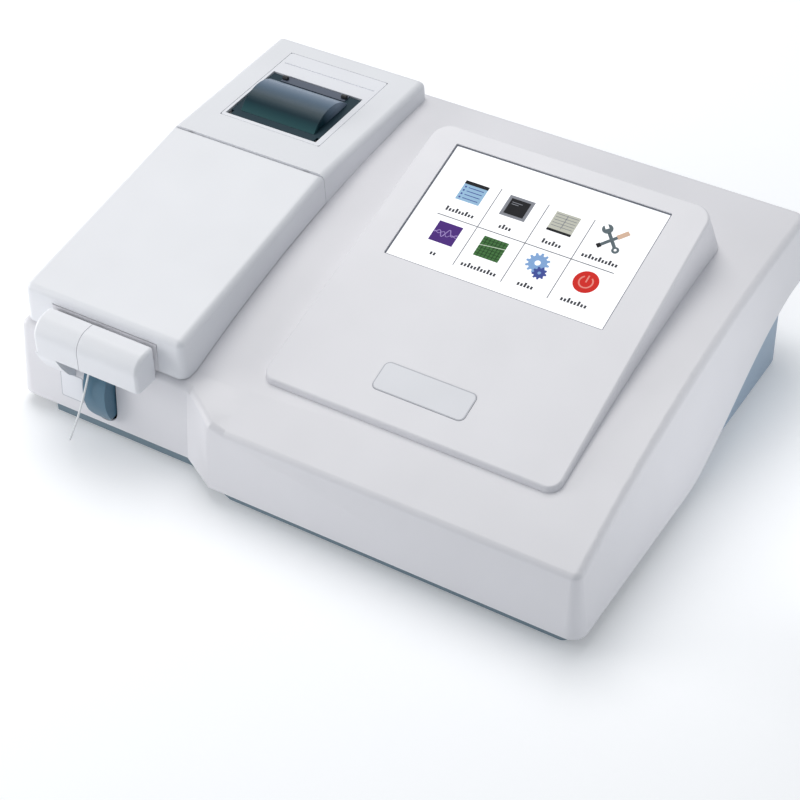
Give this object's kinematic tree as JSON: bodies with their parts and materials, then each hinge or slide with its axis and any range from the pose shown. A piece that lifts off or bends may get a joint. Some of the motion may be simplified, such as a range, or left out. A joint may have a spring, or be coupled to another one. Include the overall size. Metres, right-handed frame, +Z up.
{
  "type": "benchtop chemistry analyzer",
  "caption": "Wedge-shaped bench analyzer with a hinged bay lid, sipper hood, strip printer and a tilted touch-screen console",
  "frame": {"origin": "centre of the footprint box at the bench surface, measured without the sipper tube", "axes": "+X to the right, +Y to the back, +Z up"},
  "size_m": [0.42, 0.336, 0.1363],
  "materials": {
    "casing_white": "fine satin moulded plastic",
    "lid_grey": "satin moulded plastic",
    "chassis_blue": "powder coat, blue-grey",
    "rubber_black": "matt rubber",
    "steel": "bright",
    "screen_glass": "touch screen behind glass",
    "dark_metal": "black sheet metal",
    "board_green": "circuit board",
    "paddle_blue": "satin blue plastic",
    "badge_silver": "bare label plate",
    "smoke_plastic": "dark blue-grey gloss plastic",
    "paper": "paper",
    "black_plastic": "moulded plastic",
    "clear_glass": "clear",
    "colour_glass": "interference filters",
    "tube_clear": "translucent tubing",
    "aluminium": "milled",
    "frame_grey": "satin moulded plastic"
  },
  "bodies": {
    "housing": {"upper_shell": "casing_white", "printer_housing": "lid_grey", "console_bezel": "casing_white", "base_chassis": "chassis_blue", "rubber_feet": "rubber_black", "shell_screws": "steel", "touch_panel": "screen_glass", "lcd_module": "dark_metal", "display_bracket": "dark_metal", "badge_plate": "badge_silver", "hood_base": "lid_grey", "sipper_fitting": "black_plastic", "sipper_tube": "steel", "paddle_bracket": "dark_metal", "paddle_spring": "steel", "paddle_switch": "black_plastic", "hinge_pins": "steel", "printer_frame": "frame_grey", "printer_cradle": "black_plastic", "paper_spindle": "black_plastic", "print_head": "dark_metal", "compartment_tray": "black_plastic", "cell_holder": "aluminium", "flow_cell": "clear_glass", "detector_board": "board_green", "pump_head": "black_plastic", "pump_tubing": "tube_clear", "pump_motor": "steel", "optics_bench": "aluminium", "condenser_lens": "clear_glass", "lamp_housing": "dark_metal", "halogen_lamp": "clear_glass", "filter_motor": "steel", "main_board": "board_green", "board_standoffs": "steel", "power_supply": "steel", "power_inlet": "black_plastic", "switch_housing": "black_plastic", "serial_port": "steel", "data_port": "steel", "fan_frame": "black_plastic", "fan_guard": "steel", "drain_fitting": "black_plastic"},
    "lid": {"sample_lid": "lid_grey"},
    "hood_flap": {"hood_cover": "lid_grey"},
    "paddle": {"start_paddle": "paddle_blue"},
    "cover": {"printer_cover": "smoke_plastic", "printer_dome": "smoke_plastic", "tear_bar": "dark_metal"},
    "platen": {"platen_roller": "rubber_black"},
    "roll": {"paper_roll": "paper"},
    "rotor": {"pump_rotor": "frame_grey"},
    "roller_1": {"pump_roller_1": "steel"},
    "roller_2": {"pump_roller_2": "steel"},
    "roller_3": {"pump_roller_3": "steel"},
    "turret": {"filter_wheel": "black_plastic", "filter_glasses": "colour_glass"},
    "rocker": {"power_rocker": "black_plastic"},
    "fan": {"fan_rotor": "black_plastic"}
  },
  "joints": [
    {"name": "sample_lid_hinge", "type": "hinge", "parent": "housing", "child": "lid", "pos_m": [-0.1394, 0.02102, 0.11565], "axis": [-1, 0, 0], "range_deg": [0, 75]},
    {"name": "hood_hinge", "type": "hinge", "parent": "housing", "child": "hood_flap", "pos_m": [-0.12, -0.14478, 0.0848], "axis": [-1, 0, 0], "range_deg": [0, 55]},
    {"name": "paddle_press", "type": "hinge", "parent": "housing", "child": "paddle", "pos_m": [-0.1395, -0.13718, 0.057], "axis": [1, 0, 0], "range_deg": [0, 6], "stiffness_Nm_per_rad": 0.25, "springref_deg": -5.73},
    {"name": "printer_cover_hinge", "type": "hinge", "parent": "housing", "child": "cover", "pos_m": [-0.141, 0.05682, 0.1152], "axis": [1, 0, 0], "range_deg": [0, 80]},
    {"name": "platen_spin", "type": "hinge", "parent": "cover", "child": "platen", "pos_m": [-0.141, 0.10262, 0.1106], "axis": [1, 0, 0], "continuous": true},
    {"name": "paper_roll_spin", "type": "hinge", "parent": "housing", "child": "roll", "pos_m": [-0.141, 0.07882, 0.095], "axis": [1, 0, 0], "continuous": true},
    {"name": "pump_spin", "type": "hinge", "parent": "housing", "child": "rotor", "pos_m": [-0.112, -0.07218, 0.054], "axis": [0, 0, 1], "continuous": true},
    {"name": "pump_roller_1_spin", "type": "hinge", "parent": "rotor", "child": "roller_1", "pos_m": [-0.112, -0.06378, 0.054], "axis": [0, 0, 1], "continuous": true},
    {"name": "pump_roller_2_spin", "type": "hinge", "parent": "rotor", "child": "roller_2", "pos_m": [-0.11928, -0.07638, 0.054], "axis": [0, 0, 1], "continuous": true},
    {"name": "pump_roller_3_spin", "type": "hinge", "parent": "rotor", "child": "roller_3", "pos_m": [-0.10472, -0.07638, 0.054], "axis": [0, 0, 1], "continuous": true},
    {"name": "filter_turret_turn", "type": "hinge", "parent": "housing", "child": "turret", "pos_m": [-0.126, 0.02432, 0.058], "axis": [0, 1, 0], "continuous": true},
    {"name": "power_switch", "type": "hinge", "parent": "housing", "child": "rocker", "pos_m": [0.112, 0.13332, 0.032], "axis": [1, 0, 0], "range_deg": [0, 16]},
    {"name": "fan_spin", "type": "hinge", "parent": "housing", "child": "fan", "pos_m": [-0.03, 0.13082, 0.036], "axis": [0, 1, 0], "continuous": true}
  ],
  "couplings": [
    {"joint": "pump_roller_1_spin", "follows": "pump_spin", "ratio": -3.625},
    {"joint": "pump_roller_2_spin", "follows": "pump_spin", "ratio": -3.625},
    {"joint": "pump_roller_3_spin", "follows": "pump_spin", "ratio": -3.625}
  ]
}
